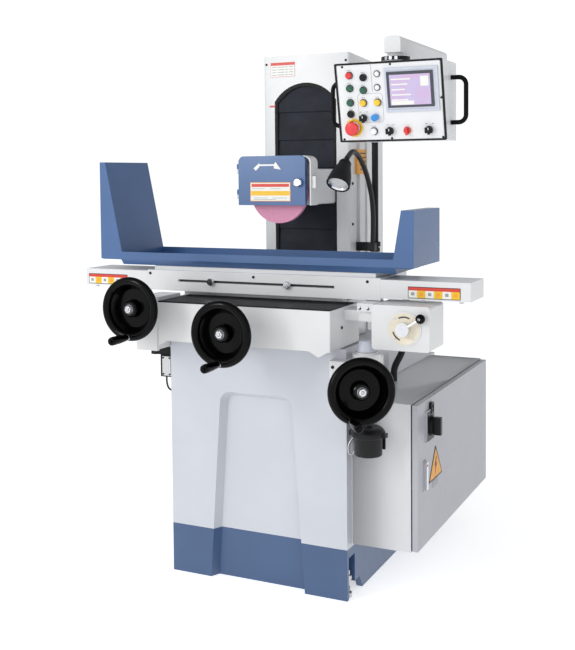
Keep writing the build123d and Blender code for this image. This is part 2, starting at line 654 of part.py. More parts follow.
BUTTON_R, STEM_R = 9.5, 7.5
TRAVEL = 4
BUTTONS = {
    "red_button": (44.7, 34.7), "green_button_1": (43.2, 72.6), "green_button_2": (41.5, 115),
    "black_button_1": (40.5, 148.7), "black_button_2": (88, 42.5), "green_button_3": (85.4, 79.6),
    "yellow_button_1": (82.6, 117), "yellow_button_2": (127, 117), "white_button": (109.6, 201.6),
}
SELECTORS = {
    "mode_selector": (80.6, 161.7), "speed_knob": (117.6, 160.5), "feed_selector": (160, 201.8),
    "magnet_selector": (212.7, 201.8), "range_selector": (279, 201.6),
}
ESTOP = (47, 190)


def pendant_side(inset=0.0):
    """The box from the side: a leaning front, level top and bottom, upright back."""
    _, y, z = PENDANT
    lean = math.radians(PENDANT_TILT)
    half = PENDANT_H / 2 * math.cos(lean) - inset
    front = y + inset / math.cos(lean)
    shift = half * math.tan(lean)
    return [(front - shift, z + half), (PENDANT_BACK - inset, z + half), (PENDANT_BACK - inset, z - half),
            (front + shift, z - half)]


def pendant_box():
    x0, x1 = PENDANT[0] - PENDANT_W / 2, PENDANT[0] + PENDANT_W / 2
    body = side_prism(pendant_side(), x0, x1)
    leaning = [e for e in body.edges() if abs(e.center().Y - PENDANT[1]) < 1 and abs(e.tangent_at(0.5).X) < 0.5]
    body = fillet(leaning, 10)
    body -= side_prism(pendant_side(3), x0 + 3, x1 - 3)
    for u, v in list(BUTTONS.values()) + list(SELECTORS.values()) + [ESTOP]:
        x, y, z = face_point(u, v)
        body -= on_pendant(rod("y", (x, -1, z), STEM_R + GAP, 5))
    body -= on_pendant(screen_block(-1, 4))
    # bearing for the swivel tube of the arm
    px, py = SWIVEL
    body += rod("z", (px, py, 1620), 30, 1633 - GAP - 1620)
    body -= rod("z", (px, py, 1590), 11.05, 80)
    return body


def pendant_handles():
    """Bail handles on both sides of the pendant."""
    group = []
    y, top, bottom = -379, 1580, 1450
    for side in (-1, 1):
        x = PENDANT[0] + side * PENDANT_W / 2
        out = x + side * 44.5
        points = [(x, y, top), (out, y, top), (out, y, bottom), (x, y, bottom)]
        group.append(tube(points, [22, 22], 6.75))
    return Compound(children=group)


def screen_block(w0, w1, inset=0.0):
    """The screen's cut-out in the face frame, from depth w0 to w1."""
    x0, _, z0 = face_point(158, 136)
    x1, _, z1 = face_point(300, 31)
    return block(x0 + inset, x1 - inset, w0, w1, z0 + inset, z1 - inset)


def touch_screen():
    x0, _, z0 = face_point(153, 147)
    x1, _, z1 = face_point(314, 19)
    bezel = block(x0, x1, -5, 0, z0, z1)
    bezel += screen_block(-0.5, 30, GAP)
    bezel -= block(x0 + 7, x1 - 7, -6, -3, z0 + 7, z1 - 7)
    return on_pendant(bezel)


def push_button(u, v):
    x, _, z = face_point(u, v)
    cap = turned_y([(0, -TRAVEL - 7), (BUTTON_R - 1.5, -TRAVEL - 7), (BUTTON_R, -TRAVEL - 5.5),
                    (BUTTON_R, -TRAVEL - 0.6), (0, -TRAVEL - 0.6)], (x, 0, z))
    return on_pendant(cap + rod("y", (x, -TRAVEL - 1, z), STEM_R, 26))


def emergency_stop():
    x, _, z = face_point(*ESTOP)
    cap = turned_y([(0, -30), (14, -29), (19.5, -26), (21.5, -20), (19, -13), (12, -9), (0, -9)], (x, 0, z))
    return on_pendant(cap + rod("y", (x, -10, z), STEM_R, 34))


def selector(u, v, r=10.5, depth=7, lever=True):
    x, _, z = face_point(u, v)
    body = rod("y", (x, -depth - 0.6, z), r, depth)
    if lever:
        body += block(x - 3.2, x + 3.2, -depth - 8, -depth, z - r - 2, z + r + 2)
    return on_pendant(body + rod("y", (x, -2, z), STEM_R, 28))


# ---- write every piece ----
def main():
    os.makedirs("parts", exist_ok=True)
    pieces = {
        "base_casting": base_casting, "levelling_screws": levelling_screws, "column": column,
        "elevating_screw": elevating_screw, "bellows_lower": bellows_lower, "bellows_upper": bellows_upper,
        "cabinet_box": cabinet_box, "cabinet_door": cabinet_door, "main_switch": main_switch,
        "door_latch": door_latch, "elevating_gearbox": elevating_gearbox,
        "filler_breather": filler_breather, "filler_lid": filler_lid, "saddle": saddle,
        "way_cover": way_cover, "feed_box": feed_box, "feed_lever": feed_lever,
        "cross_feed_screw": cross_feed_screw, "table": table, "table_ends": table_ends,
        "splash_guard": splash_guard, "wheelhead": wheelhead, "wheel_guard": wheel_guard,
        "guard_door": guard_door, "guard_knob": guard_knob, "spindle_drive": spindle_drive,
        "spindle": spindle, "grinding_wheel": grinding_wheel, "conduit_pole": conduit_pole,
        "lamp_gooseneck": lamp_gooseneck, "lamp_head": lamp_head, "limit_switch": limit_switch,
        "hoses": hoses, "pendant_arm": pendant_arm, "pendant_box": pendant_box,
        "pendant_handles": pendant_handles, "touch_screen": touch_screen,
        "emergency_stop": emergency_stop,
    }
    for node, make in pieces.items():
        save(make(), node)
    # handwheels: the shaft of each runs into the housing behind it
    for name, centre, shaft in (("x", X_WHEEL, 168), ("y", Y_WHEEL, 60)):
        save(Pos(*centre) * handwheel(shaft), f"{name}_handwheel")
        save(Pos(*centre) * crank_handle(), f"{name}_crank_handle")
    turned = Rot(0, 22.5, 0)       # its crank stands a little to the left of the lowest point
    save(on_z_wheel(turned * handwheel(110)), "z_handwheel")
    save(on_z_wheel(turned * crank_handle()), "z_crank_handle")
    save(reversing_dog(-192), "reversing_dog_left")
    save(reversing_dog(85), "reversing_dog_right")
    for node, (u, v) in BUTTONS.items():
        save(push_button(u, v), node)
    for node, (u, v) in SELECTORS.items():
        save(selector(u, v, lever=node != "speed_knob", depth=14 if node == "speed_knob" else 7), node)


main()
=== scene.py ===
"""Surface grinder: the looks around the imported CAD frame, +Z up and +X to the operator's right.

Blender's own space and the mesh helpers prism, lathe and tube are in metres. The helpers at, front,
side, scaled, box, turned and ring_line take millimetres.
"""
import math
import bmesh
import bpy
from mathutils import Matrix, Vector


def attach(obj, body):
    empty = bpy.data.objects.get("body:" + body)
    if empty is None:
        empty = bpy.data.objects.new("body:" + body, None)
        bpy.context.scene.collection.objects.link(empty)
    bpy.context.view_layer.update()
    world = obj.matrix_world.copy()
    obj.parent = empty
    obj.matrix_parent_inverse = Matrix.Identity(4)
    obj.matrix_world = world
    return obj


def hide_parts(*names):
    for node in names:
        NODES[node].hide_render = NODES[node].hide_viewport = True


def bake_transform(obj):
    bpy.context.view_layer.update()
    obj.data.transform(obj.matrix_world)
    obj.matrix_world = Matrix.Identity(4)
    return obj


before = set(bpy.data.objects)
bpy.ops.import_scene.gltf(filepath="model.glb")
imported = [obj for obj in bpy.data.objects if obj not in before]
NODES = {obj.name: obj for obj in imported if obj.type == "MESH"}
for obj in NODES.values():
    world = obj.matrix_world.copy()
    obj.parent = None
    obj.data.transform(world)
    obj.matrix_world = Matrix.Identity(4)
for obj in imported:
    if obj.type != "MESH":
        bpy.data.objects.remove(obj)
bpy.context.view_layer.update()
MM = 0.001

ON_AXIS = 1e-7       # a smaller radius is a point on the axis
SAME_POINT = 1e-6    # closer points are one point
CORNER_STEPS = 6     # segments in a rounded corner
WAVE_PERIOD = 0.314  # length of one band of the wave texture at scale 1


# ---------------------------------------------------------------- materials
def shader(name, color, rough=0.5, metal=0.0, **sockets):
    """A Principled material; returns the material, its tree and its shader."""
    mat = bpy.data.materials.new(name)
    mat.use_nodes = True
    tree = mat.node_tree
    bsdf = tree.nodes["Principled BSDF"]
    bsdf.inputs["Base Color"].default_value = (*color, 1)
    bsdf.inputs["Roughness"].default_value = rough
    bsdf.inputs["Metallic"].default_value = metal
    for key, value in sockets.items():
        bsdf.inputs[key.replace("_", " ")].default_value = value
    mat.diffuse_color = (*color, 1)
    return mat, tree, bsdf


def noise(tree, scale, detail=3.0, stretch=(1, 1, 1)):
    """Noise in the object's own space, in features per metre."""
    coords = tree.nodes.new("ShaderNodeTexCoord")
    mapping = tree.nodes.new("ShaderNodeMapping")
    mapping.inputs["Scale"].default_value = stretch
    texture = tree.nodes.new("ShaderNodeTexNoise")
    texture.inputs["Scale"].default_value = scale
    texture.inputs["Detail"].default_value = detail
    tree.links.new(coords.outputs["Object"], mapping.inputs["Vector"])
    tree.links.new(mapping.outputs["Vector"], texture.inputs["Vector"])
    return texture.outputs["Fac"]


def ramp(tree, fac, stops):
    """Colours along a factor: stops are (position, colour)."""
    node = tree.nodes.new("ShaderNodeValToRGB")
    node.color_ramp.interpolation = "EASE"
    while len(node.color_ramp.elements) < len(stops):
        node.color_ramp.elements.new(0.5)
    for element, (position, color) in zip(node.color_ramp.elements, stops):
        element.position = position
        element.color = (*color, 1)
    tree.links.new(fac, node.inputs["Fac"])
    return node.outputs["Color"]


def spread(color, amount):
    """A darker and a lighter version of a colour."""
    dark = tuple(max(0, c * (1 - amount)) for c in color)
    light = tuple(min(1, c * (1 + amount)) for c in color)
    return dark, light


def tinted(tree, fac, color, amount, low=0.3, high=0.7):
    """A colour that drifts between darker and lighter along a factor."""
    dark, light = spread(color, amount)
    return ramp(tree, fac, [(low, dark), (high, light)])


def add_bump(tree, bsdf, height, distance, strength):
    """Adds a bump on top of those that the shader has."""
    node = tree.nodes.new("ShaderNodeBump")
    node.inputs["Distance"].default_value = distance
    node.inputs["Strength"].default_value = strength
    tree.links.new(height, node.inputs["Height"])
    previous = bsdf.inputs["Normal"].links
    if previous:
        tree.links.new(previous[0].from_socket, node.inputs["Normal"])
    tree.links.new(node.outputs["Normal"], bsdf.inputs["Normal"])


def rough_by(tree, bsdf, fac, low, high):
    """Lets the roughness follow a factor."""
    node = tree.nodes.new("ShaderNodeMapRange")
    node.inputs["To Min"].default_value = low
    node.inputs["To Max"].default_value = high
    tree.links.new(fac, node.inputs["Value"])
    tree.links.new(node.outputs["Result"], bsdf.inputs["Roughness"])


def paint(name, color, rough=0.34, peel=420, depth=0.00025, cloud=0.02, coat=0.25):
    """Sprayed machine enamel: orange peel, slight clouding, uneven gloss."""
    mat, tree, bsdf = shader(name, color, rough, Coat_Weight=coat, Coat_Roughness=0.18)
    tree.links.new(tinted(tree, noise(tree, 5.5, 4), color, cloud), bsdf.inputs["Base Color"])
    rough_by(tree, bsdf, noise(tree, 38, 3), rough - 0.05, rough + 0.08)
    add_bump(tree, bsdf, noise(tree, peel, 2), depth, 0.35)
    return mat


def split_paint(name, low, high, height):
    """Enamel in one colour up to a height and in another above it, masked off in a sharp line."""
    mat = paint(name, high)
    tree = mat.node_tree
    bsdf = tree.nodes["Principled BSDF"]
    coords = tree.nodes.new("ShaderNodeTexCoord")
    split = tree.nodes.new("ShaderNodeSeparateXYZ")
    step = tree.nodes.new("ShaderNodeMath")
    step.operation = "GREATER_THAN"
    step.inputs[1].default_value = height
    mix = tree.nodes.new("ShaderNodeMix")
    mix.data_type = "RGBA"
    foot = tinted(tree, noise(tree, 7, 4), low, 0.05)
    upper = bsdf.inputs["Base Color"].links[0].from_socket
    tree.links.new(coords.outputs["Object"], split.inputs["Vector"])
    tree.links.new(split.outputs["Z"], step.inputs[0])
    tree.links.new(step.outputs["Value"], mix.inputs["Factor"])
    tree.links.new(foot, mix.inputs["A"])
    tree.links.new(upper, mix.inputs["B"])
    tree.links.new(mix.outputs["Result"], bsdf.inputs["Base Color"])
    return mat


def plastic(name, color, rough=0.4, grain=900, depth=0.0001, cloud=0.08, **sockets):
    """Moulded plastic with a fine grain."""
    mat, tree, bsdf = shader(name, color, rough, **sockets)
    tree.links.new(tinted(tree, noise(tree, 60, 3), color, cloud), bsdf.inputs["Base Color"])
    rough_by(tree, bsdf, noise(tree, 140, 3), max(0.03, rough - 0.06), rough + 0.07)
    add_bump(tree, bsdf, noise(tree, grain, 2), depth, 0.5)
    return mat


def metal(name, color, rough, stretch=(1, 1, 1)):
    """Machined or plated metal; stretch lines the brushing up with one axis."""
    mat, tree, bsdf = shader(name, color, rough, 1.0)
    lines = noise(tree, 300, 4, stretch)
    tree.links.new(tinted(tree, lines, color, 0.08, 0.25, 0.75), bsdf.inputs["Base Color"])
    rough_by(tree, bsdf, lines, rough - 0.06, rough + 0.1)
    add_bump(tree, bsdf, lines, 0.00006, 0.4)
    return mat


def cloth(name, color):
    """Coated bellows cloth."""
    mat, tree, bsdf = shader(name, color, 0.62, Sheen_Weight=0.05, Specular_IOR_Level=0.25)
    tree.links.new(tinted(tree, noise(tree, 9, 5), color, 0.3), bsdf.inputs["Base Color"])
    rough_by(tree, bsdf, noise(tree, 30, 3), 0.5, 0.72)
    add_bump(tree, bsdf, noise(tree, 700, 2), 0.0002, 0.5)
    return mat


def abrasive(name, color):
    """Vitrified aluminium oxide: coarse grain with pale and dark specks and open pores."""
    mat, tree, bsdf = shader(name, color, 0.85)
    coords = tree.nodes.new("ShaderNodeTexCoord")
    cells = tree.nodes.new("ShaderNodeTexVoronoi")
    cells.inputs["Scale"].default_value = 620
    tree.links.new(coords.outputs["Object"], cells.inputs["Vector"])
    dark, light = spread(color, 0.2)
    speckle = ramp(tree, cells.outputs["Distance"], [(0.05, light), (0.5, color), (0.9, dark)])
    tree.links.new(speckle, bsdf.inputs["Base Color"])
    add_bump(tree, bsdf, cells.outputs["Distance"], 0.0006, 0.8)
    add_bump(tree, bsdf, noise(tree, 260, 3), 0.0004, 0.5)
    return mat


def ribbed(name, color, pitch, rough=0.45):
    """Flexible conduit that is mostly upright: level rings at a pitch in metres."""
    mat, tree, bsdf = shader(name, color, rough)
    coords = tree.nodes.new("ShaderNodeTexCoord")
    wave = tree.nodes.new("ShaderNodeTexWave")
    wave.bands_direction = "Z"
    wave.inputs["Scale"].default_value = WAVE_PERIOD / pitch
    wave.inputs["Distortion"].default_value = 0.0
    tree.links.new(coords.outputs["Object"], wave.inputs["Vector"])
    add_bump(tree, bsdf, wave.outputs["Fac"], pitch * 0.25, 0.8)
    rough_by(tree, bsdf, noise(tree, 90, 3), rough - 0.08, rough + 0.12)
    return mat


FOOT_HEIGHT = 0.159   # top of the bed's blue band
M = {
    "white": paint("white_enamel", (0.685, 0.69, 0.695)),
    "bed": split_paint("bed_enamel", (0.041, 0.088, 0.195), (0.53, 0.55, 0.595), FOOT_HEIGHT),
    "blue": paint("blue_enamel", (0.046, 0.116, 0.28), rough=0.36, cloud=0.05),
    "cabinet": paint("cabinet_enamel", (0.60, 0.61, 0.63), rough=0.42, peel=900, depth=0.0002, coat=0.1),
    "door": paint("cabinet_door_enamel", (0.40, 0.405, 0.44), rough=0.42, peel=900, depth=0.0002, coat=0.1),
    "black": plastic("black_moulding", (0.006, 0.006, 0.007), 0.34, Specular_IOR_Level=0.25),
    "matte_black": plastic("black_rubber", (0.007, 0.007, 0.008), 0.55, grain=500, depth=0.0002,
                           Specular_IOR_Level=0.25),
    "bakelite": plastic("black_bakelite", (0.0008, 0.0008, 0.001), 0.18, grain=160, depth=0.00005,
                        Specular_IOR_Level=0.1, Coat_Weight=0.05, Coat_Roughness=0.05),
    "cloth": cloth("bellows_cloth", (0.013, 0.016, 0.026)),
    "hose": ribbed("hose_rubber", (0.008, 0.008, 0.009), 0.004),
    "gooseneck": ribbed("gooseneck_rubber", (0.008, 0.008, 0.009), 0.0035, rough=0.4),
    "steel": metal("machined_steel", (0.55, 0.55, 0.56), 0.3, (1, 12, 1)),
    "chrome": metal("plated_steel", (0.72, 0.73, 0.77), 0.14),
    "wheel": abrasive("pink_abrasive", (0.68, 0.30, 0.44)),
    "cream": plastic("cream_dial", (0.80, 0.73, 0.58), 0.35, cloud=0.03),
    "bezel": plastic("screen_bezel", (0.54, 0.57, 0.65), 0.32, cloud=0.03),
    "frame_grey": plastic("screen_frame", (0.05, 0.055, 0.07), 0.3),
    "panel": paint("panel_enamel", (0.74, 0.75, 0.76), rough=0.3, peel=700, depth=0.0001),
    "red": plastic("red_plastic", (0.66, 0.025, 0.02), 0.22, Coat_Weight=0.4),
    "estop_red": plastic("mushroom_red", (0.72, 0.03, 0.035), 0.25, Coat_Weight=0.4),
    "green": plastic("green_plastic", (0.004, 0.085, 0.045), 0.22, Coat_Weight=0.4),
    "yellow": plastic("yellow_plastic", (0.80, 0.52, 0.01), 0.24, Coat_Weight=0.4),
    "cyan": plastic("blue_plastic", (0.01, 0.22, 0.62), 0.24, Coat_Weight=0.4),
    "clear": plastic("clear_lens", (0.78, 0.80, 0.80), 0.12, Coat_Weight=0.8, cloud=0.02),
    "label_red": plastic("label_red", (0.62, 0.04, 0.02), 0.35, cloud=0.02),
    "label_yellow": plastic("label_yellow", (0.80, 0.47, 0.01), 0.35, cloud=0.03),
    "label_white": plastic("label_white", (0.78, 0.78, 0.74), 0.35, cloud=0.03),
    "label_orange": plastic("label_orange", (0.78, 0.33, 0.015), 0.4, cloud=0.06),
    "label_grey": plastic("label_grey", (0.30, 0.31, 0.33), 0.4, cloud=0.03),
    # ink is print, and also the painted shade at the bottom of the table's slot
    "ink": plastic("ink", (0.02, 0.02, 0.025), 0.5, cloud=0.02),
}


# ---------------------------------------------------------------- mesh helpers
def put(name, mesh, material, body, smooth=True):
    """Links a mesh as a piece that rides on a CAD body."""
    obj = bpy.data.objects.new(name, mesh)
    bpy.context.scene.collection.objects.link(obj)
    mesh.materials.append(material)
    if smooth:
        mesh.polygons.foreach_set("use_smooth", [True] * len(mesh.polygons))
    if body:
        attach(obj, body)
    return obj


def soften(obj, width, segments=2, angle=35):
    """Rounds sharp edges and keeps flat faces flat."""
    bevel = obj.modifiers.new("round", "BEVEL")
    bevel.width = width
    bevel.segments = segments
    bevel.limit_method = "ANGLE"
    bevel.angle_limit = math.radians(angle)
    bevel.harden_normals = True
    bevel.use_clamp_overlap = True
    return obj


def facing(origin, normal=(0, -1, 0), right=(1, 0, 0)):
    """A frame whose u runs right, v up and w out of a surface."""
    w = Vector(normal).normalized()
    u = Vector(right).normalized()
    v = w.cross(u)
    matrix = Matrix((u, v, w)).transposed().to_4x4()
    matrix.translation = Vector(origin)
    return matrix


def to_mesh(bm, name, place=None):
    """The mesh of a bmesh, moved into a frame where one is given."""
    mesh = bpy.data.meshes.new(name)
    bm.to_mesh(mesh)
    bm.free()
    if place is not None:
        mesh.transform(place)
    return mesh


def extrude(bm, faces, vec):
    """Gives faces a thickness along vec, with their normals outwards."""
    out = bmesh.ops.extrude_face_region(bm, geom=faces)
    moved = [g for g in out["geom"] if isinstance(g, bmesh.types.BMVert)]
    bmesh.ops.translate(bm, verts=moved, vec=vec)
    bmesh.ops.recalc_face_normals(bm, faces=bm.faces)


def prism(name, outline, place, w0, w1, material, body, bevel=0.0):
    """An outline of (u, v) points, from w0 to w1 out of its frame."""
    bm = bmesh.new()
    face = bm.faces.new([bm.verts.new((u, v, w0)) for u, v in outline])
    extrude(bm, [face], (0, 0, w1 - w0))
    obj = put(name, to_mesh(bm, name, place), material, body, smooth=bevel > 0)
    return soften(obj, bevel) if bevel else obj


def rectangle(w, h, r=0.0, cu=0.0, cv=0.0):
    """A rectangle's outline about (cu, cv), with corners of radius r."""
    if r <= 0:
        return [(cu - w / 2, cv - h / 2), (cu + w / 2, cv - h / 2),
                (cu + w / 2, cv + h / 2), (cu - w / 2, cv + h / 2)]
    points = []
    for k, (sx, sy) in enumerate(((1, 1), (-1, 1), (-1, -1), (1, -1))):
        for i in range(CORNER_STEPS + 1):
            a = math.pi / 2 * (k + i / CORNER_STEPS)
            points.append((cu + sx * (w / 2 - r) + r * math.cos(a), cv + sy * (h / 2 - r) + r * math.sin(a)))
    return points


def polar(r, degrees):
    """The (u, v) point at a radius and an angle from u."""
    return r * math.cos(math.radians(degrees)), r * math.sin(math.radians(degrees))


def lathe(name, profile, place, material, body, segments):
    """A profile of (radius, w) points turned about its frame's w axis."""
    bm = bmesh.new()
    angles = [2 * math.pi * i / segments for i in range(segments)]
    rings = []
    for r, w in profile:
        if r < ON_AXIS:
            rings.append([bm.verts.new((0, 0, w))])
        else:
            rings.append([bm.verts.new((r * math.cos(a), r * math.sin(a), w)) for a in angles])
    for a, b in zip(rings, rings[1:]):
        for i in range(segments):
            j = (i + 1) % segments
            if len(a) == 1 and len(b) == 1:
                continue
            if len(a) == 1:
                bm.faces.new((a[0], b[j], b[i]))
            elif len(b) == 1:
                bm.faces.new((a[i], a[j], b[0]))
            else:
                bm.faces.new((a[i], a[j], b[j], b[i]))
    bmesh.ops.recalc_face_normals(bm, faces=bm.faces)
    return put(name, to_mesh(bm, name, place), material, body)


def tube(name, points, r, material, body):
    """A round tube along a smooth line through points, as a mesh."""
    curve = bpy.data.curves.new(name, "CURVE")
    curve.dimensions = "3D"
    curve.bevel_depth = r
    curve.bevel_resolution = 4
    curve.use_fill_caps = True
    spline = curve.splines.new("NURBS")
    spline.points.add(len(points) - 1)
    for point, co in zip(spline.points, points):
        point.co = (*co, 1)
    spline.order_u = 3
    spline.use_endpoint_u = True
    spline.resolution_u = 8
    holder = bpy.data.objects.new(name, curve)
    bpy.context.scene.collection.objects.link(holder)
    mesh = bpy.data.meshes.new_from_object(holder.evaluated_get(bpy.context.evaluated_depsgraph_get()))
    bpy.data.objects.remove(holder)
    mesh.materials.clear()
    return put(name, mesh, material, body)


def merge(name, objects, body):
    """Joins small pieces of one kind, such as a row of screws, into one."""
    bm = bmesh.new()
    for obj in objects:
        bm.from_mesh(obj.data)
    material = objects[0].data.materials[0]
    for obj in objects:
        bpy.data.objects.remove(obj)
    return put(name, to_mesh(bm, name), material, body)


def screws(name, places, r, material, body):
    """Socket-head screws: a chamfered head of radius r with a round socket sunk into it."""
    h = r * 0.6
    profile = [(0, h * 0.3), (r * 0.52, h * 0.3), (r * 0.55, h), (r * 0.85, h), (r, h * 0.75), (r, -h * 0.1)]
    heads = [lathe(f"{name}_{k}", profile, place, material, None, 24) for k, place in enumerate(places)]
    soften(merge(name, heads, body), r * 0.05, 1, 50)


# ---------------------------------------------------------------- materials on the CAD nodes
FINISH = {
    "base_casting": "bed", "levelling_screws": "steel", "column": "white", "elevating_screw": "steel",
    "cabinet_box": "cabinet", "cabinet_door": "door", "main_switch": "black", "door_latch": "chrome",
    "elevating_gearbox": "white", "filler_breather": "black", "filler_lid": "black", "saddle": "white",
    "way_cover": "matte_black", "feed_box": "white", "feed_lever": "chrome", "cross_feed_screw": "steel",
    "table": "white", "table_ends": "white", "splash_guard": "blue", "wheelhead": "white",
    "wheel_guard": "white", "guard_door": "blue", "guard_knob": "chrome", "spindle_drive": "steel",
    "spindle": "steel", "grinding_wheel": "wheel", "conduit_pole": "matte_black", "lamp_gooseneck": "gooseneck",
    "lamp_head": "matte_black", "limit_switch": "matte_black", "hoses": "hose", "pendant_arm": "white",
    "pendant_box": "panel", "pendant_handles": "bakelite", "touch_screen": "bezel",
    "emergency_stop": "estop_red", "x_handwheel": "bakelite", "y_handwheel": "bakelite",
    "z_handwheel": "bakelite", "x_crank_handle": "bakelite", "y_crank_handle": "bakelite",
    "z_crank_handle": "bakelite", "reversing_dog_left": "chrome", "reversing_dog_right": "chrome",
    "red_button": "red", "green_button_1": "green", "green_button_2": "green", "green_button_3": "green",
    "black_button_1": "black", "black_button_2": "black", "yellow_button_1": "yellow",
    "yellow_button_2": "yellow", "white_button": "clear", "mode_selector": "black", "speed_knob": "cyan",
    "feed_selector": "black", "magnet_selector": "red", "range_selector": "black",
    "bellows_lower": "cloth", "bellows_upper": "cloth",
}
# edge radii in millimetres
ROUNDING = {"base_casting": 4, "column": 3, "saddle": 3, "splash_guard": 1, "cabinet_box": 1.5,
            "cabinet_door": 1.5, "table": 1.5, "table_ends": 2, "feed_box": 3, "elevating_gearbox": 3,
            "pendant_arm": 2, "pendant_box": 1.2, "wheelhead": 3, "wheel_guard": 1, "guard_door": 0.8}
PLAIN_ROUNDING = 0.6


def finish_cad_node(node, kind):
    """Gives a CAD node its material, welds its seams and rounds its edges."""
    obj = NODES[node]
    mesh = obj.data
    mesh.materials.clear()
    mesh.materials.append(M[kind])
    custom = mesh.attributes.get("custom_normal")
    if custom:
        mesh.attributes.remove(custom)
    mesh.polygons.foreach_set("use_smooth", [True] * len(mesh.polygons))
    weld = obj.modifiers.new("weld", "WELD")
    weld.merge_threshold = 0.00002
    soften(obj, ROUNDING.get(node, PLAIN_ROUNDING) * MM, 2, 28)


for node, kind in FINISH.items():
    finish_cad_node(node, kind)


# ---------------------------------------------------------------- frames in millimetres
def at(x, y, z):
    """A point, from millimetres to metres."""
    return x * MM, y * MM, z * MM


def front(x, y, z):
    """A frame on a surface that faces the operator."""
    return facing(at(x, y, z))


def side(x, y, z):
    """A frame on a surface that faces the right side."""
    return facing(at(x, y, z), (1, 0, 0), (0, 1, 0))


def scaled(points):
    """An outline or a profile, from millimetres to metres."""
    return [(a * MM, b * MM) for a, b in points]


def box(name, u0, u1, v0, v1, place, w0, w1, material, body, bevel=0.0, r=0.0):
    """A flat or raised rectangle on a surface, in millimetres."""
    outline = rectangle((u1 - u0) * MM, (v1 - v0) * MM, r * MM, (u0 + u1) / 2 * MM, (v0 + v1) / 2 * MM)
    return prism(name, outline, place, w0 * MM, w1 * MM, material, body, bevel * MM)


def turned(name, profile, place, material, body, segments=48):
    """A turned piece, its profile in millimetres."""
    return lathe(name, scaled(profile), place, material, body, segments)


def ring_line(name, outline_out, outline_in, place, w0, w1, material, body):
    """A flat frame between two outlines with the same number of points."""
    bm = bmesh.new()
    loops = []
    for outline in (outline_out, outline_in):
        for w in (w0, w1):
            loops.append([bm.verts.new((u * MM, v * MM, w * MM)) for u, v in outline])
    out0, out1, in0, in1 = loops
    for a, b in ((out0, out1), (out1, in1), (in1, in0), (in0, out0)):
        for i in range(len(a)):
            j = (i + 1) % len(a)
            bm.faces.new((a[i], a[j], b[j], b[i]))
    bmesh.ops.recalc_face_normals(bm, faces=bm.faces)
    return put(name, to_mesh(bm, name, place), material, body, smooth=False)


# ---------------------------------------------------------------- bellows
THROAT = (-122, 109, 1558, 1619)   # inside of the throat: left, right, spring line, top of the arch
CLOTH_COLUMNS = 28
CLOTH_SAG = 0.8         # how far the middle stands out
CLOTH_THICKNESS = 12
# the profile of one panel: (part of its height, millimetres to add, y)
PANEL = ((0, 0, -29.5), (0, 1.5, -31), (0.5, 0, -29.6), (1, -2, -27.2), (1, -0.2, -26.6))


def arch_height(x):
    """Height of the throat's arch above x, all in millimetres."""
    left, right, spring, top = THROAT
    middle, half, rise = (left + right) / 2, (right - left) / 2, top - spring
    radius = (half * half + rise * rise) / (2 * rise)
    return top - radius + math.sqrt(max(0.0, radius * radius - (x - middle) ** 2))


def bellows(name, node, z0, z1, panel):
    """Overlapping panels of coated cloth, each standing a little proud of the next one."""
    left, right = THROAT[:2]
    bm = bmesh.new()
    rows = []
    count = round((z1 - z0) / panel)
    for k in range(count):
        low, high = z0 + (z1 - z0) * k / count, z0 + (z1 - z0) * (k + 1) / count
        rows += [(low + (high - low) * part + extra, y) for part, extra, y in PANEL]
    sheet = []
    for z, y in rows:
        line = []
        for i in range(CLOTH_COLUMNS + 1):
            x = left + (right - left) * i / CLOTH_COLUMNS
            sag = CLOTH_SAG * math.sin(math.pi * i / CLOTH_COLUMNS)
            line.append(bm.verts.new(at(x, y - sag, min(z, arch_height(x)))))
        sheet.append(line)
    for a, b in zip(sheet, sheet[1:]):
        for i in range(CLOTH_COLUMNS):
            bm.faces.new((a[i], a[i + 1], b[i + 1], b[i]))
    bmesh.ops.remove_doubles(bm, verts=bm.verts, dist=SAME_POINT)
    bmesh.ops.dissolve_degenerate(bm, edges=bm.edges, dist=SAME_POINT)
    extrude(bm, list(bm.faces), at(0, CLOTH_THICKNESS, 0))
    obj = put(name, to_mesh(bm, name), M["cloth"], None, smooth=False)
    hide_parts(node)
    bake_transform(obj)


bellows("bellows_lower_cloth", "bellows_lower", 766, 1199, 88)
bellows("bellows_upper_cloth", "bellows_upper", 1325, 1618, 84)


# ---------------------------------------------------------------- wheel guard door
DOOR = "guard_door"
DOOR_FRONT = -297   # y of its outer face
arrow = [(-76, -9), (-68, -17), (-55, -5), (-55, -1.6), (-2, -1.6), (-2, -10), (23, -14), (4, 11), (-2, 3.6),
         (-55, 3.6), (-55, 8)]
prism("turn_arrow", scaled(arrow), front(0, DOOR_FRONT, 1333), 0, 0.0007, M["label_white"], DOOR)
notice = front(-16, DOOR_FRONT, 1247)
box("door_notice", -73, 73, -31, 31, notice, 0, 0.6, M["label_orange"], DOOR, r=2)
box("door_notice_field", -71, 71, -29, 29, notice, 0.4, 0.9, M["label_white"], DOOR, r=1)
box("door_notice_head", -68, 68, 16, 26, notice, 0.8, 1.1, M["label_red"], DOOR)
box("door_notice_band", -70, 70, -12, 3, notice, 0.8, 1.1, M["label_yellow"], DOOR)
for k, (u0, u1, v) in enumerate(((-66, -20, 10), (0, 40, 10), (-60, -10, -20), (6, 60, -20), (-60, 20, -25))):
    box(f"door_notice_line_{k}", u0, u1, v - 0.8, v + 0.8, notice, 0.85, 1.1, M["label_grey"], DOOR)

